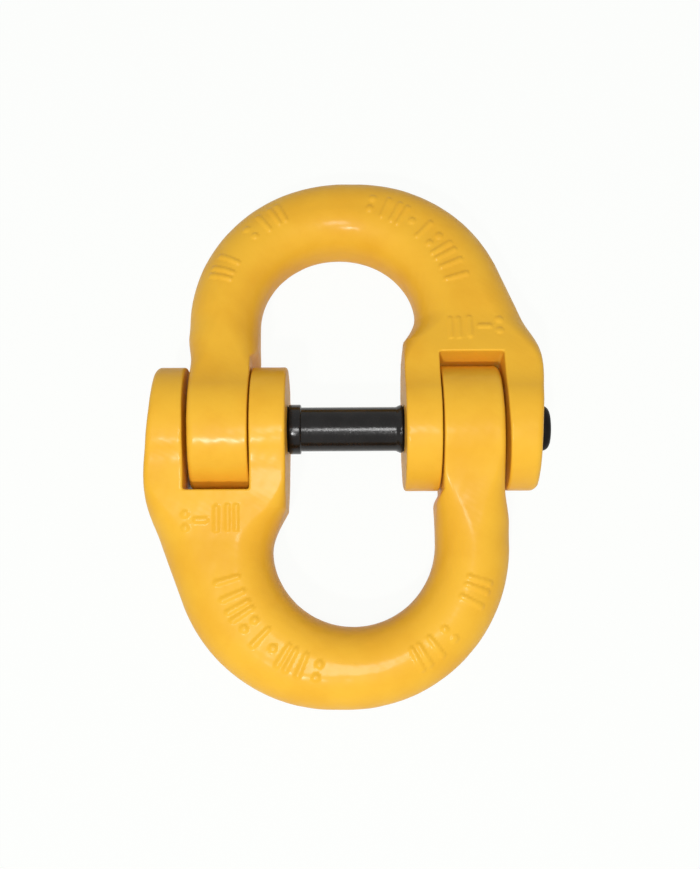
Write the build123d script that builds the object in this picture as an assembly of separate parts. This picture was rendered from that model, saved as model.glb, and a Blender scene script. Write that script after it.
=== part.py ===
from build123d import *
import math
import os

# A forged connecting link for 20 mm lifting chain, lying on a flat surface.
# Two identical half links share one pin. Each half is a bow with a single eye (the tongue)
# on one leg and a two-eared fork on the other, so the tongue of one half swings in the fork
# of the other. A slotted sleeve is snapped round the waist of the pin, between the two
# forks, and keeps the pin from sliding out.
#
# Half-link frame: X along the pin, Y from the pin axis to the crown of the bow, Z through
# the thickness. The tongue is on the -X side and the fork on the +X side.
# Part frame: X along the pin, Y along the link, Z up from the surface it lies on, with the
# origin on that surface below the middle of the overall box.

# Eyes of the half links, in millimetres and degrees
ear_radius = 18.5
ear_blend = 12.0  # concave radius where an eye runs into its leg
rim_round = 2.8  # forged rounding of the eyes' necks
rim_bevel = 1.9  # round the side faces of the eyes

# Bow of the half links
eye_radius = 23.85  # inside bend
leg_run = 19.3  # from the fork to the centre of the inside bend
crown_thickness = 23.2
crown_depth = 24.0  # thickness through Z, passes between the sides of a chain link
crown_rise = 0.3  # outside bend's centre beyond that of the inside bend
crown_offset = 0.5  # outside bend towards the tongue
crown_flat = 4.1  # straight run between the two outside bends
bend_offset = 2.0  # inside bend towards the tongue
section_flat = 1.6  # flat left on the narrower side of a nearly round section
flank_lean = 20.8  # slope of the shoulder that widens into the fork
shoulder_radius = 40.0  # rounding of the shoulder's corner
nose_lean = 26.6  # slope between the fork's inner side and the inside bend
nose_foot = 8.7  # start of that slope above the fork
nose_ease = 1.1  # rounding where it meets the inside bend
nose_end = 45.0  # the inside bend is round beyond this angle from the pin's direction

# Sections that the forging runs straight between
bend_stations = 20
leg_stations = 4

# Tongue
tongue_thickness = 17.1
tongue_draft = 3.0  # outer side, widens towards the leg
tongue_depth = 25.2  # through Z, where it meets the leg
tongue_neck = 0.2  # straight stretch between eye and leg
tongue_step = 0.15  # the leg starts this much inside the edges of the eye's neck
facing_depth = 1.95  # machined off the inner side
facing_clearance = 4.0  # radius of the machined side beyond that of the eye

# Fork
inner_ear = 10.3  # ear beside the sleeve
outer_ear = 10.95  # ear at the end of the pin
fork_draft = 5.2  # outer side, widens towards the leg
fork_relief = 3.2  # outer side, falls away from the parting line
fork_depth = 29.6  # through Z, where it meets the leg
fork_neck = 0.2  # straight stretch between eyes and leg
slot_inner_clearance = 0.45
slot_outer_clearance = 1.2
slot_draft = 2.4  # outer wall, opens towards the ends of the ears
root_clearance = 5.2  # end of the tongue to the bottom of the slot

# Pin
pin_diameter = 13.4
pin_length = 116.0
pin_offset = 2.0  # how far the pin stands towards +X
bore_clearance = 0.1  # radial
bore_chamfer = 0.8
pin_head_chamfer = 1.5
pin_tail_chamfer = 1.2
waist_diameter = 9.6
waist_clearance = 0.1  # shoulder of the waist to the end of the sleeve
waist_bevel = 0.5

# Sleeve
sleeve_diameter = 13.05
sleeve_waist_clearance = 0.05  # radial
sleeve_end_clearance = 0.25  # to the side of a fork
sleeve_slit = 3.2
sleeve_edge = 0.35
collar_diameter = 14.75
collar_width = 3.6
lip_diameter = 14.2
lip_width = 0.8
lip_flare = 1.2

# Places that follow from the sizes above
blend_reach = ear_radius + ear_blend
tongue_joint_y = math.sqrt(blend_reach**2 - (tongue_depth / 2 + ear_blend) ** 2) + tongue_neck
fork_joint_y = math.sqrt(blend_reach**2 - (fork_depth / 2 + ear_blend) ** 2) + fork_neck
bend_y = fork_joint_y + leg_run
crown_y = bend_y + crown_rise
crown_radius = eye_radius + crown_thickness - crown_rise
crown_corner = (min(crown_thickness, crown_depth) - section_flat) / 2
leg_inner_x = bend_offset + eye_radius
tongue_inner_x = leg_inner_x + facing_depth
tongue_outer_x = tongue_inner_x + tongue_thickness
slot_inner_x = tongue_inner_x - slot_inner_clearance
slot_outer_x = tongue_outer_x + slot_outer_clearance
fork_inner_x = slot_inner_x - inner_ear
fork_outer_x = slot_outer_x + outer_ear
facing_radius = ear_radius + facing_clearance
root_radius = ear_radius + root_clearance
pin_radius = pin_diameter / 2
bore_radius = pin_radius + bore_clearance
sleeve_end_x = fork_inner_x - sleeve_end_clearance
waist_end_x = sleeve_end_x + waist_clearance
beyond = 2 * (crown_radius + fork_outer_x)  # longer than anything in a half link

# At rest the eyes and both crowns touch the surface, so each half hangs by this angle
crown_low_y = crown_y + crown_radius - crown_corner
droop = math.degrees(math.asin((ear_radius - crown_depth / 2) / crown_low_y))

bend_centre = Vector(-bend_offset, bend_y)
left_centre = Vector(-crown_offset, crown_y)
right_centre = left_centre + Vector(crown_flat, 0)
flank_normal = Vector(math.cos(math.radians(flank_lean)), math.sin(math.radians(flank_lean)))
flank_start = right_centre + flank_normal * crown_radius


def lean(length, angle):
    """Sideways travel of a slope at an angle over a length."""
    return length * math.tan(math.radians(angle))


def eased_min(first, second, ease):
    """The smaller of two lengths, with the change-over rounded."""
    return (first + second) / 2 - math.hypot((first - second) / 2, ease)


def reach_circle(start, heading, centre, radius):
    """Distance from start along heading to the far side of a circle."""
    offset = centre - start
    along = offset.dot(heading)
    return along + math.sqrt(along**2 - offset.dot(offset) + radius**2)


def reach_flank(start, heading):
    """Distance from start along heading to the sloping shoulder of the fork."""
    return (flank_start - start).dot(flank_normal) / heading.dot(flank_normal)


def reach_nose(start, heading):
    """Distance from start along heading to the slope between fork and inside bend."""
    slope = lean(1, nose_lean)
    rise = start.Y - fork_joint_y - nose_foot
    return (fork_inner_x - start.X + slope * rise) / (heading.X - slope * heading.Y)


def bow_outer(heading, angle):
    """Distance from the centre of the inside bend to the outside of the bow."""
    if angle > 90:
        return reach_circle(bend_centre, heading, left_centre, crown_radius)
    if angle > flank_lean:
        return reach_circle(bend_centre, heading, right_centre, crown_radius)
    return reach_flank(bend_centre, heading)


def section(start, heading, inner, outer, depth, corner):
    """Cross section of a leg or bow between two distances from start along heading."""
    middle = start + heading * ((inner + outer) / 2)
    plane = Plane(origin=middle, x_dir=heading, z_dir=Vector(0, 0, -1).cross(heading))
    limit = (min(outer - inner, depth) - section_flat) / 2
    return plane * RectangleRounded(outer - inner, depth, min(corner, limit))


def tongue_leg_sections():
    """From the eye of the tongue, where the sides are flat, to the round leg."""
    sections = []
    leg_outer_x = crown_radius + crown_offset
    eye_outer_x = tongue_outer_x + lean(tongue_joint_y, tongue_draft)
    for station in range(leg_stations):
        share = station / leg_stations
        y = tongue_joint_y + share * (bend_y - tongue_joint_y)
        outer = eye_outer_x + (leg_outer_x - eye_outer_x) * math.sin(math.radians(90 * share))
        depth = tongue_depth + (crown_depth - tongue_depth) * share
        step = tongue_step * (1 - share)
        sections.append(
            section(
                Vector(0, y),
                Vector(-1, 0),
                leg_inner_x + step,
                outer - step,
                depth - 2 * step,
                rim_round if station == 0 else crown_corner,
            )
        )
    return sections


def bend_sections():
    """Round the bow, from the tongue's side over the crown to the fork's side."""
    sections = []
    for station in range(bend_stations):
        angle = 180 * (1 - station / bend_stations)
        heading = Vector(math.cos(math.radians(angle)), math.sin(math.radians(angle)))
        inner = eye_radius
        outer = bow_outer(heading, angle)
        if angle < nose_end:
            inner = eased_min(eye_radius, reach_nose(bend_centre, heading), nose_ease)
        sections.append(section(bend_centre, heading, inner, outer, crown_depth, crown_corner))
    return sections


def fork_side(y):
    """Outer side of the fork, round the shoulder and up its slope."""
    draft = math.radians(fork_draft)
    turn = math.radians(flank_lean) + draft
    level = flank_start.X + lean(flank_start.Y, flank_lean)
    corner_y = (level - fork_outer_x) / (lean(1, flank_lean) + lean(1, fork_draft))
    start_y = corner_y - shoulder_radius * math.tan(turn / 2) * math.cos(draft)
    centre_y = start_y + shoulder_radius * math.sin(draft)
    centre_x = fork_outer_x + lean(start_y, fork_draft) - shoulder_radius * math.cos(draft)
    end_y = centre_y + shoulder_radius * flank_normal.Y
    if y < start_y:
        return fork_outer_x + lean(y, fork_draft)
    if y < end_y:
        return centre_x + math.sqrt(shoulder_radius**2 - (y - centre_y) ** 2)
    return level - lean(y, flank_lean)


def fork_leg_sections():
    """Down the widening shoulder to the flat sides of the fork."""
    sections = []
    for station in range(leg_stations, -1, -1):
        share = station / leg_stations
        y = fork_joint_y + share * leg_run
        level = Vector(0, y)
        bend = reach_circle(level, Vector(1, 0), bend_centre, eye_radius)
        nose = reach_nose(level, Vector(1, 0))
        inner = max(fork_inner_x, eased_min(bend, nose, nose_ease))
        outer = fork_side(y)
        depth = fork_depth + (crown_depth - fork_depth) * share
        corner = rim_round if station == 0 else crown_corner
        sections.append(section(level, Vector(1, 0), inner, outer, depth, corner))
    return sections


def die(outer_x, draft, relief):
    """Room inside the outer side of an eye, as the forging die leaves it."""
    reach = 2 * ear_radius
    low_x = -lean(reach, relief) * math.cos(math.radians(draft))
    outline = Polyline(
        (-beyond, -reach), (low_x, -reach), (0, 0), (low_x, reach), (-beyond, reach), close=True
    )
    room = extrude(Plane.XZ * make_face(outline), 2 * beyond, both=True)
    return Pos(outer_x) * Rot(Z=-draft) * room


def rims(block, joint_y, side):
    """Edges round the inner (-1) or outer (1) side of an eye, up to its leg."""
    faces = block.faces().filter_by(lambda f: f.normal_at().X * side > 0.9)
    return ShapeList(edge for face in faces for edge in face.edges()).filter_by(
        lambda e: e.center().Y < joint_y - tongue_neck / 4
        and max(abs(v.Z) for v in e.vertices()) > rim_round
    )


def eye_block(inner_x, outer_x, draft, relief, depth, joint_y):
    """An eye and its neck between a square inner side and a forged outer side, at +X."""
    profile = Circle(ear_radius) + Pos(joint_y / 2, 0) * Rectangle(joint_y, depth)
    hollows = profile.vertices().filter_by(lambda v: 0 < v.X < joint_y - tongue_neck / 2)
    profile = fillet(hollows, ear_blend)
    side = Plane(origin=(inner_x, 0, 0), x_dir=(0, 1, 0), z_dir=(1, 0, 0))
    block = extrude(side * profile, beyond) & die(outer_x, draft, 0)
    block = chamfer(rims(block, joint_y, 1), rim_bevel + lean(ear_radius / 2, relief))
    block = block & die(outer_x, draft, relief)
    return chamfer(rims(block, joint_y, -1), rim_bevel)


def slot():
    """Room for the other half's tongue, with a round bottom about the pin axis."""
    plan = Polyline(
        (slot_inner_x, beyond),
        (slot_inner_x, -beyond),
        (slot_outer_x + lean(beyond, slot_draft), -beyond),
        (slot_outer_x, 0),
        (slot_outer_x, beyond),
        close=True,
    )
    prism = extrude(make_face(plan), beyond, both=True)
    return prism & Rot(Y=90) * Cylinder(root_radius, 2 * beyond)


def bore():
    """Pin bore through all three eyes, eased at its outer mouth."""
    mouth = Cone(bore_radius, bore_radius + 2 * bore_chamfer, 2 * bore_chamfer)
    return Rot(Y=90) * Cylinder(bore_radius, 2 * beyond) + Pos(fork_outer_x) * Rot(Y=90) * mouth


def half_link():
    """One forged half in its own frame, machined at the tongue, slot and bore."""
    tongue = eye_block(
        leg_inner_x, tongue_outer_x, tongue_draft, 0, tongue_depth, tongue_joint_y
    )
    fork = eye_block(
        fork_inner_x, fork_outer_x, fork_draft, fork_relief, fork_depth, fork_joint_y
    )
    fork_die = die(fork_outer_x, fork_draft, fork_relief)
    sections = tongue_leg_sections() + bend_sections() + fork_leg_sections()
    bow = loft(Sketch() + sections, ruled=True)
    forging = mirror(tongue, Plane.YZ) + (bow & fork_die) + fork
    facing = Pos(facing_depth / 2 - tongue_inner_x) * Rot(Y=90) * Cylinder(
        facing_radius, facing_depth
    )
    return forging - facing - slot() - bore()


def load_pin():
    """Turned pin with a waist, one end rounded and the other chamfered."""
    tail_x = pin_offset - pin_length / 2
    head_x = pin_offset + pin_length / 2
    waist_radius = waist_diameter / 2
    outline = Polyline(
        (tail_x, 0),
        (tail_x, pin_radius - pin_tail_chamfer),
        (tail_x + pin_tail_chamfer, pin_radius),
        (-waist_end_x, pin_radius),
        (-waist_end_x, waist_radius),
        (waist_end_x, waist_radius),
        (waist_end_x, pin_radius),
        (head_x, pin_radius),
        (head_x, 0),
        close=True,
    )
    profile = make_face(outline)
    at_waist = profile.vertices().filter_by(lambda v: abs(v.Y - waist_radius) < waist_bevel / 9)
    profile = chamfer(at_waist, waist_bevel)
    at_head = profile.vertices().sort_by(Axis.X)[-2:].sort_by(Axis.Y)[-1]
    profile = chamfer(at_head, pin_head_chamfer)
    return revolve(profile, Axis.X)


def retaining_sleeve():
    """Spring sleeve round the waist, with a collar, a flared lip and a slit underneath."""
    bore_r = waist_diameter / 2 + sleeve_waist_clearance
    body_r = sleeve_diameter / 2
    collar_r = collar_diameter / 2
    lip_r = lip_diameter / 2
    mouth = waist_bevel - waist_clearance / 2  # clears the waist's rounded corners
    outline = Polyline(
        (mouth - sleeve_end_x, bore_r),
        (-sleeve_end_x, bore_r + mouth),
        (-sleeve_end_x, collar_r - sleeve_edge),
        (sleeve_edge - sleeve_end_x, collar_r),
        (collar_width - sleeve_edge - sleeve_end_x, collar_r),
        (collar_width - sleeve_end_x, collar_r - sleeve_edge),
        (collar_width - sleeve_end_x, body_r),
        (sleeve_end_x - lip_width - lip_flare, body_r),
        (sleeve_end_x - lip_width, lip_r),
        (sleeve_end_x, lip_r),
        (sleeve_end_x, bore_r + mouth),
        (sleeve_end_x - mouth, bore_r),
        close=True,
    )
    ring = revolve(make_face(outline), Axis.X)
    slit = Pos(0, 0, -collar_r) * Box(2 * fork_inner_x, sleeve_slit, 2 * collar_r)
    return ring - slit


def main():
    """Build the four pieces, lay them at rest and write one file for each."""
    half = half_link()
    pieces = {
        "half_link_lower": Rot(X=droop) * Rot(Z=180) * half,
        "half_link_upper": Rot(X=-droop) * half,
        "load_pin": load_pin(),
        "retaining_sleeve": retaining_sleeve(),
    }
    boxes = [piece.bounding_box() for piece in pieces.values()]
    middle_x = (min(b.min.X for b in boxes) + max(b.max.X for b in boxes)) / 2
    rest = Pos(-middle_x, 0, ear_radius)
    os.makedirs("parts", exist_ok=True)
    for name, piece in pieces.items():
        export_step(rest * piece, f"parts/{name}.step")
    print("droop", round(droop, 3), "pin axis height", ear_radius)
    print("middle moved by", round(-middle_x, 3))


main()
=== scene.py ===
import itertools
import math

import bmesh
import bpy
import numpy as np
from mathutils import Matrix, Vector


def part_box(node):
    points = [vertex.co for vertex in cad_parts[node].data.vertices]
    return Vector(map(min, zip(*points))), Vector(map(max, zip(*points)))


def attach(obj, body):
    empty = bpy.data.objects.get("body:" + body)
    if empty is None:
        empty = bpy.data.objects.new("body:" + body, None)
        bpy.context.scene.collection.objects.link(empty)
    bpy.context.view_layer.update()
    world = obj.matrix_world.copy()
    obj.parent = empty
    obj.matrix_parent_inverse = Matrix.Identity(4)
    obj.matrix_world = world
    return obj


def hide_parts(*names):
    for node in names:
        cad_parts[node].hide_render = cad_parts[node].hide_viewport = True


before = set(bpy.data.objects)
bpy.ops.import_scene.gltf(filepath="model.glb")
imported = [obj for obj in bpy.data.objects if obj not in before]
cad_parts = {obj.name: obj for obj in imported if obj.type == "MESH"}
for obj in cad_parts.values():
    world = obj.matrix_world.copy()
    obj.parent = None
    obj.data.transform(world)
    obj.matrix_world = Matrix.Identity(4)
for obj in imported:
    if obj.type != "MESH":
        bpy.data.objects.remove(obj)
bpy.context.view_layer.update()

# A forged connecting link lies on a pale floor: two yellow enamelled half links, a black pin
# and the black sleeve that keeps it in place.
#
# Each half link is a field of distances to its skin, worked out in its own frame: X along the
# pin, Y from the pin axis to the crown, Z through the thickness, tongue at -X and fork at +X.
# Its sizes are in millimetres and degrees. The floor and the lamps are placed in metres.
MM = 0.001

# Eyes of the half links
ear_radius = 18.5
tongue_blend = 32.0  # hollow between the tongue's eye and its leg
fork_blend = 26.0  # hollow between the fork's eyes and their leg
rim_round = 1.7
faced_rim_round = 0.9  # on the side of an eye that is machined

# Bow of the half links
eye_radius = 23.85  # inside bend
leg_run = 19.3  # from the foot of the fork's leg to the bow
crown_thickness = 23.2
crown_depth = 24.0
crown_rise = 0.3  # outside bend's centre beyond that of the inside bend
crown_offset = 0.5  # outside bend towards the tongue
crown_flat = 4.1  # straight run between the two outside bends
bend_offset = 2.0  # inside bend towards the tongue
leg_foot_y = 14.561  # where the fork's leg starts to narrow
section_flat = 1.6  # flat left on the narrower side of a nearly round section
flank_lean = 20.8  # slope of the shoulder that widens into the fork
shoulder_radius = 40.0
nose_lean = 26.6  # slope between the fork's inner side and the inside bend
nose_foot = 8.7  # start of that slope above the leg's foot
nose_ease = 1.1  # rounding where it meets the inside bend

# Tongue and fork
tongue_thickness = 17.1
tongue_film = 0.7  # paint and forging swell on the tongue's outer side
tongue_draft = 0.9  # outer side, widens towards the leg
tongue_relief = 1.8  # outer side, falls away from the parting line
tongue_depth = 25.2
widening_margin = 1.0  # the tongue's leg starts to widen this far inside the eye
widening_end = 5.0  # and is at its full width this far before the bow
round_start = 0.4  # share of the eye's radius where the tongue's rims start to grow rounder
facing_depth = 1.95  # machined off the tongue's inner side
facing_clearance = 0.4
facing_run_out = 30.0  # the facing climbs back to the leg at this angle
facing_end = 8.0  # and stops this far before the bow
inner_ear = 10.3  # ear beside the sleeve
outer_ear = 10.95  # ear at the end of the pin
fork_draft = 5.2  # outer side, widens towards the leg
fork_relief = 3.2  # outer side, falls away from the parting line
ear_swell = 0.5  # the ears are a little fuller at their ends
fork_depth = 29.6
slot_inner_clearance = 0.45
slot_outer_clearance = 1.2
slot_draft = 2.4  # outer wall, opens towards the ends of the ears
root_clearance = 0.5  # from the eyes' radius to the flat root of the slot
root_corner = 0.6
slot_corner = 0.1

# Pin and sleeve
pin_radius = 6.7
pin_length = 116.0
pin_offset = 2.0  # how far the pin stands towards +X
pin_head_round = 2.0
pin_tail_chamfer = 1.2
waist_radius = 4.8
waist_clearance = 0.1  # shoulder of the waist to the end of the sleeve
bore_clearance = 0.1
bore_chamfer = 0.8
sleeve_radius = 6.525
sleeve_clearance = 0.05
sleeve_end_clearance = 0.25  # to the side of a fork
sleeve_chamfer = 0.45  # mouths of its bore
sleeve_slit = 3.2
collar_radius = 7.375
collar_width = 3.6
lip_radius = 7.1
lip_width = 0.8
lip_flare = 1.2

# Finish of the forging
tongue_barrel = 0.2  # most that the upper and lower face fall away at their sides
fork_barrel = 0.6
machined_edge = 0.6  # paint rounds the machined edges
skin_margin = 0.06  # keeps the waves of the forged skin inside the true size
skin_wave = 0.05
parting_width = 0.9
parting_height = 0.05

# Raised tally marks, which stand in for the forged lettering
mark_height = 0.36
mark_half_width = 0.5
mark_reach = 3.1  # half the length of a bar between the centres of its round ends
mark_foot = (-0.35, 0.75)  # distances from a mark's edge between which it rises
mark_radius = 37.0  # middle of the rows, from the centre of the inside bend
twin_reach = 1.2  # half the distance between twin bars
dash_reach = 1.4
pip_radius = 0.8
pip_reach = 1.9  # half the distance between two dots
no_mark = 9.0  # far enough from every mark to leave the skin as it is
# Rows round the bow: angle of the first mark, step, kinds
mark_rows = (
    (16.5, 7.2, ("bar", "bar", "twin", "pips", "bar", "pip", "twin", "bar", "pips")),
    (120.0, 8.0, ("twin", "bar", "pips")),
    (153.0, 8.0, ("bar", "twin")),
)
# The row across the fork's face: middle of the first mark, rise for each length, step, kinds
face_row_x = 32.2
face_row_y = 27.0
face_row_lean = 0.07
face_row_step = 4.4
face_row = ("twin", "bar", "dash", "pips")

# Meshes
mesh_step = 0.6
mesh_slabs = 12  # the field is worked out in slabs, to save memory
mesh_passes = 3  # moves of each point onto the skin
least_steepness = 0.25
turn_steps = 160
crease_angle = 50.0
join_distance = 0.002

# Smallest divisors, so that no line runs on for ever beside a form that it doesn't meet
least_away = 1.0
least_heading = 0.2
least_closing = 0.05

# Places that follow from the sizes above
tongue_joint_y = math.sqrt(
    (ear_radius + tongue_blend) ** 2 - (tongue_depth / 2 + tongue_blend) ** 2
)
fork_joint_y = math.sqrt((ear_radius + fork_blend) ** 2 - (fork_depth / 2 + fork_blend) ** 2)
bend_y = leg_foot_y + leg_run
crown_y = bend_y + crown_rise
crown_radius = eye_radius + crown_thickness - crown_rise
crown_corner = (min(crown_thickness, crown_depth) - section_flat) / 2
leg_inner_x = bend_offset + eye_radius
leg_outer_x = crown_radius + crown_offset
tongue_inner_x = leg_inner_x + facing_depth
slot_outer_x = tongue_inner_x + tongue_thickness + slot_outer_clearance
tongue_outer_x = tongue_inner_x + tongue_thickness + tongue_film
slot_inner_x = tongue_inner_x - slot_inner_clearance
fork_inner_x = slot_inner_x - inner_ear
fork_outer_x = slot_outer_x + outer_ear
droop = math.asin((ear_radius - crown_depth / 2) / (crown_y + crown_radius - crown_corner))
flank = math.radians(flank_lean)
flank_x = crown_flat - crown_offset + crown_radius * math.cos(flank)
flank_y = crown_y + crown_radius * math.sin(flank)
bore_radius = pin_radius + bore_clearance
sleeve_end_x = fork_inner_x - sleeve_end_clearance

# Where the pin axis lies in the part
pin_low, pin_high = [Vector(corner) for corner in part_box("load_pin")]
pin_middle = (pin_low + pin_high) / 2
axis_point = pin_middle - Vector((pin_offset * MM, 0, 0))


def slope(angle):
    """Sideways travel for each unit of length at an angle in degrees."""
    return math.tan(math.radians(angle))


def within_both(first, second, edge):
    """Distance to what two forms share, with a rounded edge."""
    rounding = np.hypot(np.maximum(first + edge, 0), np.maximum(second + edge, 0))
    return np.minimum(np.maximum(first, second), -edge) + rounding


def eased_min(first, second, ease):
    """The smaller of two lengths, with the change-over rounded."""
    return (first + second) / 2 - np.hypot((first - second) / 2, ease)


def smooth_share(value, start, end):
    """0 before start, 1 after end and an even change between."""
    share = np.clip((value - start) / (end - start), 0, 1)
    return share * share * (3 - 2 * share)


def reach_circle(start_x, start_y, head_x, head_y, centre_x, centre_y, radius):
    """Distance from a start along a heading to the far side of a circle."""
    off_x = centre_x - start_x
    off_y = centre_y - start_y
    along = off_x * head_x + off_y * head_y
    spare = along**2 - off_x**2 - off_y**2 + radius**2
    return along + np.sqrt(np.maximum(spare, 0))


def reach_nose(start_x, start_y, head_x, head_y):
    """Distance from a start along a heading to the slope inside the fork."""
    lean = slope(nose_lean)
    rise = start_y - leg_foot_y - nose_foot
    closing = np.maximum(head_x - lean * head_y, least_closing)
    return (fork_inner_x - start_x + lean * rise) / closing


def bend(x, y, z):
    """The bow above the centre of its inside bend."""
    away_x = x + bend_offset
    away_y = np.maximum(y - bend_y, 0)
    away = np.maximum(np.hypot(away_x, away_y), least_away)
    head_x = away_x / away
    head_y = away_y / away
    angle = np.arctan2(head_y, head_x)
    ray = (-bend_offset, bend_y, head_x, head_y)
    left = reach_circle(*ray, -crown_offset, crown_y, crown_radius)
    right = reach_circle(*ray, crown_flat - crown_offset, crown_y, crown_radius)
    reach = (flank_x + bend_offset) * math.cos(flank) + (flank_y - bend_y) * math.sin(flank)
    closing = head_x * math.cos(flank) + head_y * math.sin(flank)
    shoulder = reach / np.maximum(closing, least_heading)
    top = (crown_y + crown_radius - bend_y) / np.maximum(head_y, least_heading)
    top_x = top * head_x - bend_offset
    outer = np.where(angle > flank, right, shoulder)
    outer = np.where(top_x < crown_flat - crown_offset, top, outer)
    outer = np.where(top_x < -crown_offset, left, outer)
    eased = eased_min(eye_radius, reach_nose(*ray), nose_ease)
    inner = np.where(angle < math.pi / 4, eased, eye_radius)
    side = np.abs(away - (inner + outer) / 2) - (outer - inner) / 2
    return within_both(side, np.abs(z) - crown_depth / 2, crown_corner)


def fork_side(y):
    """Outer side of the fork, round the shoulder and up its slope."""
    draft = math.radians(fork_draft)
    level = flank_x + slope(flank_lean) * flank_y
    corner_y = (level - fork_outer_x) / (slope(flank_lean) + slope(fork_draft))
    start_y = corner_y - shoulder_radius * math.tan((flank + draft) / 2) * math.cos(draft)
    centre_y = start_y + shoulder_radius * math.sin(draft)
    centre_x = fork_outer_x + slope(fork_draft) * start_y - shoulder_radius * math.cos(draft)
    end_y = centre_y + shoulder_radius * math.sin(flank)
    arc = centre_x + np.sqrt(np.maximum(shoulder_radius**2 - (y - centre_y) ** 2, 0))
    below = fork_outer_x + slope(fork_draft) * y
    above = level - slope(flank_lean) * y
    return np.where(y < start_y, below, np.where(y < end_y, arc, above))


def eye_outline(y, z, depth, blend, joint_y):
    """Distance to an eye seen along the pin: a disc that runs into its leg in hollow arcs."""
    through = np.abs(z)
    centre_z = depth / 2 + blend
    disc = np.hypot(y, z) - ear_radius
    hollow = blend - np.hypot(y - joint_y, through - centre_z)
    in_hollow = through * joint_y < centre_z * y
    return np.where(y > joint_y, through - depth / 2, np.where(in_hollow, hollow, disc))


def limb(across, inner, outer, face, barrel, easing):
    """An eye and its leg between an inner and an outer side, under a face with barrelled sides.

    Its rims are small at the eye, smallest on the machined side, and full at the bow.
    """
    middle = (inner + outer) / 2
    half_width = (outer - inner) / 2
    side = np.abs(across - middle) - half_width
    face = face + barrel * ((across - middle) / half_width) ** 2
    rim = np.where(across < middle, faced_rim_round, rim_round)
    return within_both(side, face, rim + (crown_corner - rim) * easing)


def tongue_limb(across, y, z):
    """The tongue's eye and its leg up to the bow."""
    share = smooth_share(y, ear_radius, bend_y)
    eye_outer = tongue_outer_x + slope(tongue_draft) * np.minimum(y, ear_radius)
    eye_outer = eye_outer - slope(tongue_relief) * np.abs(z)
    widening = smooth_share(y, ear_radius - widening_margin, bend_y - widening_end)
    outer = eye_outer + (leg_outer_x - eye_outer) * widening
    shrink = (tongue_depth - crown_depth) / 2 * share
    face = eye_outline(y, z, tongue_depth, tongue_blend, tongue_joint_y) + shrink
    barrel = tongue_barrel * smooth_share(y, 0, ear_radius) * (1 - share)
    easing = smooth_share(y, round_start * ear_radius, bend_y)
    return limb(across, leg_inner_x, outer, face, barrel, easing)


def fork_limb(across, y, z):
    """The fork's eyes and the leg that narrows from them to the bow."""
    share = smooth_share(y, leg_foot_y, bend_y)
    leg_y = np.maximum(y, leg_foot_y)
    curve = reach_circle(0, leg_y, 1, 0, -bend_offset, bend_y, eye_radius)
    nose = reach_nose(0, leg_y, 1, 0)
    inner = np.maximum(fork_inner_x, eased_min(curve, nose, nose_ease))
    outer = fork_side(y) - slope(fork_relief) * np.abs(z) * (1 - share)
    outer = outer + ear_swell * smooth_share(-y, 0, ear_radius)
    shrink = (fork_depth - crown_depth) / 2 * share
    face = eye_outline(y, z, fork_depth, fork_blend, fork_joint_y) + shrink
    barrel = fork_barrel * smooth_share(y, 0, ear_radius) * (1 - share)
    return limb(across, inner, outer, face, barrel, share)


def cut(form, tool, edge):
    """What a tool leaves of a form, with a rounded edge."""
    return within_both(form, -tool, edge)


def rib(u, v, low, high):
    """Distance in the plane to a stroke with round ends, along v."""
    return np.hypot(u, v - np.clip(v, low, high)) - mark_half_width


def pip(u, v, height):
    """Distance in the plane to a round dot."""
    return np.hypot(u, v - height) - pip_radius


def mark(kind, u, v):
    """One generic forged tally mark about its own middle."""
    if kind == "bar":
        return rib(u, v, -mark_reach, mark_reach)
    if kind == "twin":
        return rib(np.abs(u) - twin_reach, v, -mark_reach, mark_reach)
    if kind == "dash":
        return rib(v, u, -dash_reach, dash_reach)
    if kind == "pips":
        return np.minimum(pip(u, v, -pip_reach), pip(u, v, pip_reach))
    return pip(u, v, 0)


def tally(x, y):
    """Distance in plan to the nearest raised mark."""
    away_x = x + bend_offset
    away_y = y - bend_y
    up = np.hypot(away_x, away_y) - mark_radius
    angle = np.degrees(np.arctan2(away_y, away_x))
    nearest = np.full(np.broadcast(x, y).shape, no_mark)
    for first, step, kinds in mark_rows:
        for count, kind in enumerate(kinds):
            along = np.radians(angle - first - step * count) * mark_radius
            nearest = np.minimum(nearest, mark(kind, along, up))
    for count, kind in enumerate(face_row):
        across = x - face_row_x - face_row_step * count
        rise = y - face_row_y - face_row_lean * face_row_step * count
        nearest = np.minimum(nearest, mark(kind, across, rise))
    return nearest


def waves(x, y, z):
    """Slow uneven waves of a hammered and tumbled skin, between -1 and 1."""
    slow = np.sin(0.31 * x + 0.17 * y + 1.3) * np.sin(0.27 * y - 0.2 * z + 0.4)
    middle = np.sin(0.83 * x - 0.41 * z + 2.1) * np.sin(0.71 * y + 0.6 * z)
    fine = np.sin(1.9 * x + 1.1 * y) * np.sin(1.7 * y - 1.3 * z + 0.8)
    return (slow + 0.6 * middle + 0.3 * fine) / 1.9


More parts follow.
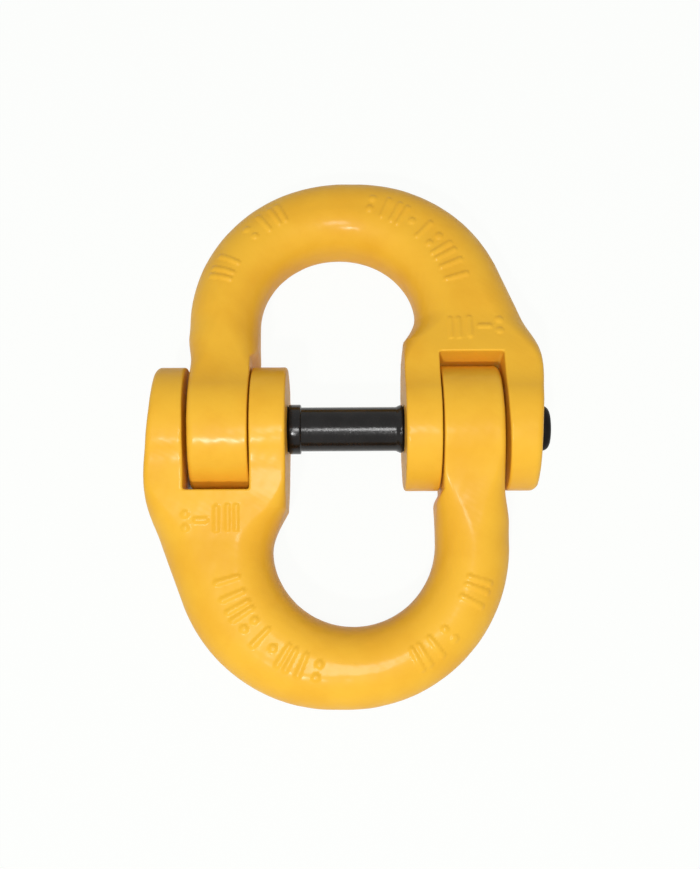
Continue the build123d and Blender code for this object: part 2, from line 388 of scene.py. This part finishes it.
def half_link(x, y, z):
    """Distance to the skin of one painted half link."""
    limbs = np.where(x < 0, tongue_limb(-x, y, z), fork_limb(x, y, z))
    form = np.where(y > bend_y, bend(x, y, z), limbs)
    parting = parting_height * np.exp(-((z / parting_width) ** 2))
    form = form + skin_margin - skin_wave * waves(x, y, z) - parting
    # The marks stand on the upper face only
    raised = mark_height * (1 - smooth_share(tally(x, y), *mark_foot))
    form = form - np.where(z > 0, raised, 0)
    # The facing on the inner side of the tongue
    climb = slope(facing_run_out) * np.maximum(y - ear_radius - facing_clearance, 0)
    facing = np.maximum(climb - x - tongue_inner_x, y - bend_y + facing_end)
    facing = np.maximum(facing, x)
    form = cut(form, facing, machined_edge)
    # The slot between the ears of the fork
    outer_wall = x - slot_outer_x - slope(slot_draft) * np.maximum(-y, 0)
    slot = within_both(slot_inner_x - x, outer_wall, slot_corner)
    slot = within_both(slot, y - ear_radius - root_clearance, root_corner)
    form = cut(form, slot, machined_edge)
    # The bore, with a chamfer at the fork's outer end
    mouth = bore_chamfer - np.clip(fork_outer_x - x, 0, bore_chamfer)
    return cut(form, np.hypot(y, z) - bore_radius - mouth, machined_edge)


def crossings(values, points, cells):
    """Mean of the places where a field changes sign on the edges of each cell."""
    total = np.zeros((len(cells), 3))
    count = np.zeros((len(cells), 1))
    for corner in itertools.product((0, 1), repeat=3):
        for axis in range(3):
            if corner[axis] == 1:
                continue
            near = cells + np.array(corner)
            far = near.copy()
            far[:, axis] += 1
            first = values[tuple(near.T)]
            second = values[tuple(far.T)]
            crosses = (first < 0) != (second < 0)
            share = np.where(crosses, first / np.where(crosses, first - second, 1), 0)
            start = np.stack([points[i][near[:, i]] for i in range(3)], axis=1)
            start[:, axis] += share * (points[axis][1] - points[axis][0])
            total += start * crosses[:, None]
            count += crosses[:, None]
    return total / count


def cell_faces(inside, index):
    """Four-sided faces round each grid edge that the surface crosses."""
    faces = []
    for axis in range(3):
        side, other = (axis + 1) % 3, (axis + 2) % 3
        low = [slice(None)] * 3
        high = [slice(None)] * 3
        low[axis], high[axis] = slice(None, -1), slice(1, None)
        first, second = inside[tuple(low)], inside[tuple(high)]
        edges = np.argwhere(first != second)
        leaving = first[tuple(edges.T)]
        ring = []
        for back_side, back_other in ((1, 1), (0, 1), (0, 0), (1, 0)):
            cell = edges.copy()
            cell[:, side] -= back_side
            cell[:, other] -= back_other
            ring.append(index[tuple(cell.T)])
        ring = np.stack(ring, axis=1)
        faces.append(np.where(leaving[:, None], ring, ring[:, ::-1]))
    return np.concatenate(faces)


def gradient(field, points, reach=0.02):
    """Direction in which a field grows."""
    parts = []
    for axis in range(3):
        offset = np.zeros(3)
        offset[axis] = reach
        parts.append(field(*(points + offset).T) - field(*(points - offset).T))
    return np.stack(parts, axis=1) / (2 * reach)


def skin(field, low, high, step):
    """Points, faces and normals of a closed mesh on the zero surface of a field."""
    limits = zip(low, high)
    axes = [np.arange(start - 2 * step, stop + 3 * step, step) for start, stop in limits]
    grid = np.meshgrid(*axes, indexing="ij", sparse=True)
    slabs = np.array_split(grid[0], mesh_slabs)
    values = np.concatenate([field(x, grid[1], grid[2]) for x in slabs])
    inside = values < 0
    shape = [size - 1 for size in inside.shape]
    count = np.zeros(shape, dtype=np.int8)
    for i, j, k in itertools.product((0, 1), repeat=3):
        count += inside[i : shape[0] + i, j : shape[1] + j, k : shape[2] + k]
    cells = np.argwhere((count > 0) & (count < 8))
    index = np.full(shape, -1)
    index[tuple(cells.T)] = np.arange(len(cells))
    points = crossings(values, axes, cells)
    for _ in range(mesh_passes):
        growth = gradient(field, points)
        steepness = np.maximum((growth**2).sum(axis=1), least_steepness)
        move = growth * (field(*points.T) / steepness)[:, None]
        points -= np.clip(move, -step / 2, step / 2)
    normals = gradient(field, points)
    normals /= np.linalg.norm(normals, axis=1)[:, None]
    return points, cell_faces(inside, index), normals


def placed_object(name, data):
    """A new object in the scene."""
    piece = bpy.data.objects.new(name, data)
    bpy.context.scene.collection.objects.link(piece)
    return piece


def forged_halves():
    """Both half links: one forging laid at rest, and the same one turned half round."""
    low = (-crown_radius - 3, -ear_radius, -ear_radius)
    high = (fork_outer_x + 3, crown_y + crown_radius, ear_radius)
    points, faces, normals = skin(half_link, low, high, mesh_step * (1))
    halves = []
    for name, turn, tilt in (("lower", math.pi, droop), ("upper", 0, -droop)):
        spin = np.array(Matrix.Rotation(tilt, 3, "X") @ Matrix.Rotation(turn, 3, "Z"))
        laid = points @ spin.T * MM + np.array(axis_point)
        mesh = bpy.data.meshes.new(f"forged_half_{name}")
        mesh.from_pydata(laid.tolist(), [], faces.tolist())
        mesh.shade_smooth()
        mesh.normals_split_custom_set_from_vertices((normals @ spin.T).tolist())
        half = placed_object(mesh.name, mesh)
        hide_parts(f"half_link_{name}")
        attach(half, f"{name}_half")
        halves.append(half)
    return halves


def eased_outline(corners, steps=5):
    """An outline of (x, radius) points with each corner rounded by its own radius."""
    outline = []
    for before, corner, after in zip(corners, corners[1:], corners[2:]):
        x, r, ease = corner
        if ease == 0:
            outline.append((x, r))
            continue
        back = Vector((before[0] - x, before[1] - r)).normalized()
        ahead = Vector((after[0] - x, after[1] - r)).normalized()
        half_turn = back.angle(ahead) / 2
        reach = ease / math.tan(half_turn)
        centre = Vector((x, r)) + (back + ahead).normalized() * ease / math.sin(half_turn)
        start = Vector((x, r)) + back * reach - centre
        end = Vector((x, r)) + ahead * reach - centre
        sweep = start.angle_signed(end)
        for step in range(steps + 1):
            turn = Matrix.Rotation(-sweep * step / steps, 2)
            outline.append(tuple(centre + turn @ start))
    first, last = corners[0][:2], corners[-1][:2]
    return [first] + outline + [last]


def turned(name, outline, gap=0.0):
    """A part turned about the pin axis.

    Without a gap, the outline starts and ends on the axis. With one, in radians and on the
    underside, the outline is closed and the part is a split ring.
    """
    angles = np.linspace(gap / 2, 2 * math.pi - gap / 2, turn_steps + 1)
    if not gap:
        angles = angles[:-1]
    x, r = np.array(outline).T
    rings = [np.stack([x, r * math.sin(turn), -r * math.cos(turn)], axis=1) for turn in angles]
    points = np.concatenate(rings) * MM + np.array(axis_point)
    size = len(outline)
    last = (len(angles) - 1) * size
    faces = []
    for ring in range(len(angles) - 1 if gap else len(angles)):
        here = ring * size
        there = (ring + 1) % len(angles) * size
        for k in range(size if gap else size - 1):
            after = (k + 1) % size
            faces.append((here + k, there + k, there + after, here + after))
    if gap:
        faces.append(tuple(range(size)))
        faces.append(tuple(last + k for k in reversed(range(size))))
    mesh = bpy.data.meshes.new(name)
    mesh.from_pydata(points.tolist(), [], faces)
    join_and_orient(mesh)
    mesh.shade_smooth()
    mesh.set_sharp_from_angle(angle=math.radians(crease_angle))
    return placed_object(name, mesh)


def join_and_orient(mesh):
    """Joins the points on the axis and turns every face outwards."""
    work = bmesh.new()
    work.from_mesh(mesh)
    bmesh.ops.remove_doubles(work, verts=work.verts, dist=join_distance * MM)
    bmesh.ops.recalc_face_normals(work, faces=work.faces)
    work.to_mesh(mesh)
    work.free()


def load_pin():
    """The pin: chamfered tail, waist under the sleeve, rounded head with a faced end."""
    tail = pin_offset - pin_length / 2
    head = pin_offset + pin_length / 2
    waist = sleeve_end_x + waist_clearance
    corners = [  # x, radius, rounding
        (tail, 0, 0),
        (tail, pin_radius - pin_tail_chamfer, 0.25),
        (tail + pin_tail_chamfer, pin_radius, 0.4),
        (-waist, pin_radius, 0.12),
        (-waist, waist_radius, 0.3),
        (waist, waist_radius, 0.3),
        (waist, pin_radius, 0.12),
        (head, pin_radius, pin_head_round),
        (head, 0, 0),
    ]
    pin = turned("turned_load_pin", eased_outline(corners))
    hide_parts("load_pin")
    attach(pin, "pin")
    return pin


def retaining_sleeve():
    """The spring sleeve: collar at one end, flared lip at the other, slit underneath."""
    bore = waist_radius + sleeve_clearance
    end = sleeve_end_x
    flare_start = end - lip_width - lip_flare
    corners = [  # x, radius, rounding
        (-end + sleeve_chamfer, bore, 0.0),
        (-end, bore + sleeve_chamfer, 0.1),
        (-end, collar_radius, 0.45),
        (collar_width - end, collar_radius, 0.4),
        (collar_width - end, sleeve_radius, 0.25),
        (flare_start, sleeve_radius, 0.8),
        (end - lip_width, lip_radius, 0.5),
        (end, lip_radius, 0.3),
        (end, bore + sleeve_chamfer, 0.1),
        (end - sleeve_chamfer, bore, 0.0),
    ]
    gap = 2 * math.asin(sleeve_slit / 2 / sleeve_radius)
    sleeve = turned("turned_sleeve", eased_outline(corners), gap)
    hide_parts("retaining_sleeve")
    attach(sleeve, "pin")
    return sleeve


def group(name, inputs, outputs):
    """An empty shader node group with named sockets, and its two end nodes."""
    tree = bpy.data.node_groups.new(name, "ShaderNodeTree")
    for label, kind, value in inputs:
        socket = tree.interface.new_socket(label, in_out="INPUT", socket_type=kind)
        socket.default_value = value
    for label, kind in outputs:
        tree.interface.new_socket(label, in_out="OUTPUT", socket_type=kind)
    return tree, tree.nodes.new("NodeGroupInput"), tree.nodes.new("NodeGroupOutput")


def noise(tree, place, scale, detail, roughness=0.55):
    """A noise texture; scale is a socket or a number in waves for each metre."""
    node = tree.nodes.new("ShaderNodeTexNoise")
    tree.links.new(place, node.inputs["Vector"])
    if isinstance(scale, (int, float)):
        node.inputs["Scale"].default_value = scale
    else:
        tree.links.new(scale, node.inputs["Scale"])
    node.inputs["Detail"].default_value = detail
    node.inputs["Roughness"].default_value = roughness
    return node.outputs["Fac"]


def ramp(tree, value, low, high):
    """0 below low, 1 above high."""
    node = tree.nodes.new("ShaderNodeMapRange")
    node.interpolation_type = "SMOOTHSTEP"
    tree.links.new(value, node.inputs["Value"])
    node.inputs["From Min"].default_value = low
    node.inputs["From Max"].default_value = high
    return node.outputs["Result"]


def spread(tree, value, given, wanted):
    """A value moved evenly from one range to another."""
    node = tree.nodes.new("ShaderNodeMapRange")
    tree.links.new(value, node.inputs["Value"])
    node.inputs["From Min"].default_value, node.inputs["From Max"].default_value = given
    node.inputs["To Min"].default_value, node.inputs["To Max"].default_value = wanted
    return node.outputs["Result"]


def math_node(tree, operation, first, second):
    """One arithmetic step on sockets or numbers."""
    node = tree.nodes.new("ShaderNodeMath")
    node.operation = operation
    for socket, value in zip(node.inputs, (first, second)):
        if isinstance(value, (int, float)):
            socket.default_value = value
        else:
            tree.links.new(value, socket)
    return node.outputs[0]


def mix_colour(tree, share, first, second):
    """A mix of two colours or colour sockets."""
    node = tree.nodes.new("ShaderNodeMix")
    node.data_type = "RGBA"
    tree.links.new(share, node.inputs["Factor"])
    for socket, value in zip(("A", "B"), (first, second)):
        target = [s for s in node.inputs if s.name == socket and s.type == "RGBA"][0]
        if isinstance(value, tuple):
            target.default_value = value
        else:
            tree.links.new(value, target)
    return [s for s in node.outputs if s.type == "RGBA"][0]


def cloudy_tone_group():
    """Slow and fine changes between two tones of one finish."""
    sockets = (
        ("Tone", "NodeSocketColor", (0.5, 0.5, 0.5, 1)),
        ("Other Tone", "NodeSocketColor", (0.4, 0.4, 0.4, 1)),
        ("Cloud Scale", "NodeSocketFloat", 60.0),
    )
    tree, given, result = group("cloudy_tone", sockets, (("Color", "NodeSocketColor"),))
    place = tree.nodes.new("ShaderNodeTexCoord").outputs["Object"]
    cloud = noise(tree, place, given.outputs["Cloud Scale"], 4)
    share = ramp(tree, cloud, 0.35, 0.68)
    colour = mix_colour(tree, share, given.outputs["Tone"], given.outputs["Other Tone"])
    tree.links.new(colour, result.inputs["Color"])
    return tree


def fine_grain_group():
    """Height of a lightly uneven skin, with soft dimples and finer grain on them."""
    sockets = (
        ("Dimple Scale", "NodeSocketFloat", 700.0),
        ("Grain Scale", "NodeSocketFloat", 3000.0),
        ("Grain Share", "NodeSocketFloat", 0.3),
    )
    outputs = (("Height", "NodeSocketFloat"), ("Speckle", "NodeSocketFloat"))
    tree, given, result = group("fine_grain", sockets, outputs)
    place = tree.nodes.new("ShaderNodeTexCoord").outputs["Object"]
    dimple = noise(tree, place, given.outputs["Dimple Scale"], 2, 0.4)
    grain = noise(tree, place, given.outputs["Grain Scale"], 3)
    height = math_node(tree, "MULTIPLY", grain, given.outputs["Grain Share"])
    height = math_node(tree, "ADD", dimple, height)
    tree.links.new(height, result.inputs["Height"])
    tree.links.new(ramp(tree, grain, 0.62, 0.72), result.inputs["Speckle"])
    return tree


def placed_group(tree, source, **values):
    """A node group in a material, with its own values."""
    node = tree.nodes.new("ShaderNodeGroup")
    node.node_tree = source
    for name, value in values.items():
        node.inputs[name.replace("_", " ")].default_value = value
    return node


def new_material(name):
    """A material with its Principled shader."""
    material = bpy.data.materials.new(name)
    material.use_nodes = True
    tree = material.node_tree
    return material, tree, tree.nodes["Principled BSDF"]


def bump(tree, shader, height, distance, strength):
    """Feeds a height into a shader's normal."""
    node = tree.nodes.new("ShaderNodeBump")
    node.inputs["Distance"].default_value = distance
    node.inputs["Strength"].default_value = strength
    tree.links.new(height, node.inputs["Height"])
    tree.links.new(node.outputs["Normal"], shader.inputs["Normal"])


def yellow_enamel(tone, grain):
    """Half-gloss enamel sprayed thick over a forging, with a soft orange peel."""
    material, tree, shader = new_material("yellow_enamel")
    clouds = placed_group(tree, tone, Cloud_Scale=55.0)
    clouds.inputs["Tone"].default_value = (0.855, 0.470, 0.036, 1)
    clouds.inputs["Other Tone"].default_value = (0.810, 0.420, 0.028, 1)
    skin_grain = placed_group(tree, grain, Dimple_Scale=420.0, Grain_Scale=2600.0, Grain_Share=0.2)
    tree.links.new(clouds.outputs["Color"], shader.inputs["Base Color"])
    rough = spread(tree, skin_grain.outputs["Height"], (0.4, 0.8), (0.44, 0.56))
    tree.links.new(rough, shader.inputs["Roughness"])
    shader.inputs["Coat Weight"].default_value = 0.13
    shader.inputs["Coat Roughness"].default_value = 0.19
    shader.inputs["Specular IOR Level"].default_value = 0.12
    bump(tree, shader, skin_grain.outputs["Height"], 0.10 * MM, 0.4)
    return material


def black_oxide(name, tone, grain, roughness, specular):
    """Blackened steel with faint turning marks; roughness is a lowest and a highest value."""
    material, tree, shader = new_material(name)
    clouds = placed_group(tree, tone, Cloud_Scale=160.0)
    clouds.inputs["Tone"].default_value = (0.005, 0.004, 0.004, 1)
    clouds.inputs["Other Tone"].default_value = (0.010, 0.009, 0.009, 1)
    steel_grain = placed_group(tree, grain, Dimple_Scale=900.0, Grain_Scale=5200.0, Grain_Share=0.5)
    wear = (0.026, 0.024, 0.023, 1)
    colour = mix_colour(tree, steel_grain.outputs["Speckle"], clouds.outputs["Color"], wear)
    tree.links.new(colour, shader.inputs["Base Color"])
    place = tree.nodes.new("ShaderNodeTexCoord").outputs["Object"]
    stretch = tree.nodes.new("ShaderNodeMapping")
    stretch.inputs["Scale"].default_value = (1, 0.02, 0.02)
    tree.links.new(place, stretch.inputs["Vector"])
    lines = noise(tree, stretch.outputs["Vector"], 4200.0, 2)
    height = math_node(tree, "MULTIPLY", lines, 0.2)
    height = math_node(tree, "ADD", height, steel_grain.outputs["Height"])
    rough = spread(tree, lines, (0.3, 0.7), roughness)
    tree.links.new(rough, shader.inputs["Roughness"])
    shader.inputs["Specular IOR Level"].default_value = specular
    bump(tree, shader, height, 0.05 * MM, 0.5)
    return material


def seen_rays(tree):
    """1 for rays from the camera and for those that gloss and glass send on."""
    path = tree.nodes.new("ShaderNodeLightPath")
    passed_on = math_node(
        tree, "MAXIMUM", path.outputs["Is Glossy Ray"], path.outputs["Is Transmission Ray"]
    )
    return math_node(tree, "MAXIMUM", path.outputs["Is Camera Ray"], passed_on)


def floor():
    """A wide pale floor, just clear of the link, that shows white and keeps a soft shadow."""
    mesh = bpy.data.meshes.new("floor")
    half = 1.5
    corners = [(-half, -half, 0), (half, -half, 0), (half, half, 0), (-half, half, 0)]
    mesh.from_pydata(corners, [], [(0, 1, 2, 3)])
    piece = placed_object("floor", mesh)
    piece.location.z = -0.05 * MM
    material, tree, shader = new_material("pale_floor")
    shader.inputs["Base Color"].default_value = (0.80, 0.80, 0.79, 1)
    shader.inputs["Roughness"].default_value = 0.8
    shader.inputs["Specular IOR Level"].default_value = 0.2
    glow = tree.nodes.new("ShaderNodeEmission")
    glow.inputs["Color"].default_value = (0.99, 1.0, 0.985, 1)
    share = math_node(tree, "MULTIPLY", seen_rays(tree), 0.95)
    blend = tree.nodes.new("ShaderNodeMixShader")
    tree.links.new(share, blend.inputs["Fac"])
    tree.links.new(shader.outputs["BSDF"], blend.inputs[1])
    tree.links.new(glow.outputs["Emission"], blend.inputs[2])
    tree.links.new(blend.outputs["Shader"], tree.nodes["Material Output"].inputs["Surface"])
    mesh.materials.append(material)


def softbox(name, place, size, power):
    """A square lamp aimed at the middle of the link."""
    data = bpy.data.lights.new(name, "AREA")
    data.shape = "SQUARE"
    data.size = size
    data.energy = power
    lamp = placed_object(name, data)
    lamp.location = place
    lamp.rotation_euler = (axis_point - Vector(place)).to_track_quat("-Z", "Y").to_euler()


def studio():
    """Even white surroundings, a small key lamp at the camera's lower left and a fill behind it."""
    world = bpy.data.worlds.new("white_room")
    world.use_nodes = True
    tree = world.node_tree
    room = tree.nodes["Background"]
    room.inputs["Color"].default_value = (1, 0.99, 0.975, 1)
    room.inputs["Strength"].default_value = 0.33
    backdrop = tree.nodes.new("ShaderNodeBackground")
    backdrop.inputs["Color"].default_value = (0.99, 1.0, 0.985, 1)
    blend = tree.nodes.new("ShaderNodeMixShader")
    tree.links.new(seen_rays(tree), blend.inputs["Fac"])
    tree.links.new(room.outputs["Background"], blend.inputs[1])
    tree.links.new(backdrop.outputs["Background"], blend.inputs[2])
    tree.links.new(blend.outputs["Shader"], tree.nodes["World Output"].inputs["Surface"])
    bpy.context.scene.world = world
    softbox("key_lamp", (-0.148, -0.536, 0.85), 0.05, 4.2)
    softbox("fill_lamp", (0, -0.165, 0.60), 0.11, 1.4)


def camera():
    """The camera at the photograph's viewing angle, worked out from the two equal halves."""
    tilt = math.radians(14.231)
    roll = math.radians(0.3095)
    distance = 329.5 * MM
    focal_px = 1111.22
    target_px = (345.761, 429.244)
    frame_px = (700, 869)
    away = Vector((0, -math.sin(tilt), math.cos(tilt)))
    up = Vector((0, math.cos(tilt), math.sin(tilt)))
    right = Vector((1, 0, 0))
    side_axis = right * math.cos(roll) - up * math.sin(roll)
    up_axis = right * math.sin(roll) + up * math.cos(roll)
    data = bpy.data.cameras.new("camera")
    data.sensor_width = 36
    data.lens = focal_px * data.sensor_width / frame_px[1]
    data.shift_x = (frame_px[0] / 2 - target_px[0]) / frame_px[1]
    data.shift_y = -(frame_px[1] / 2 - target_px[1]) / frame_px[1]
    data.clip_start = 0.01
    data.clip_end = 20
    piece = placed_object("camera", data)
    turn = Matrix((side_axis, up_axis, away)).transposed().to_4x4()
    piece.matrix_world = Matrix.Translation(axis_point + away * distance) @ turn
    bpy.context.scene.camera = piece


tone_group = cloudy_tone_group()
grain_group = fine_grain_group()
enamel = yellow_enamel(tone_group, grain_group)
pin_steel = black_oxide("black_pin_steel", tone_group, grain_group, (0.42, 0.55), 0.08)
sleeve_steel = black_oxide("black_sleeve_steel", tone_group, grain_group, (0.15, 0.22), 0.24)
for half in forged_halves():
    half.data.materials.append(enamel)
load_pin().data.materials.append(pin_steel)
retaining_sleeve().data.materials.append(sleeve_steel)
floor()
studio()
camera()
bpy.context.scene.view_settings.view_transform = "Standard"
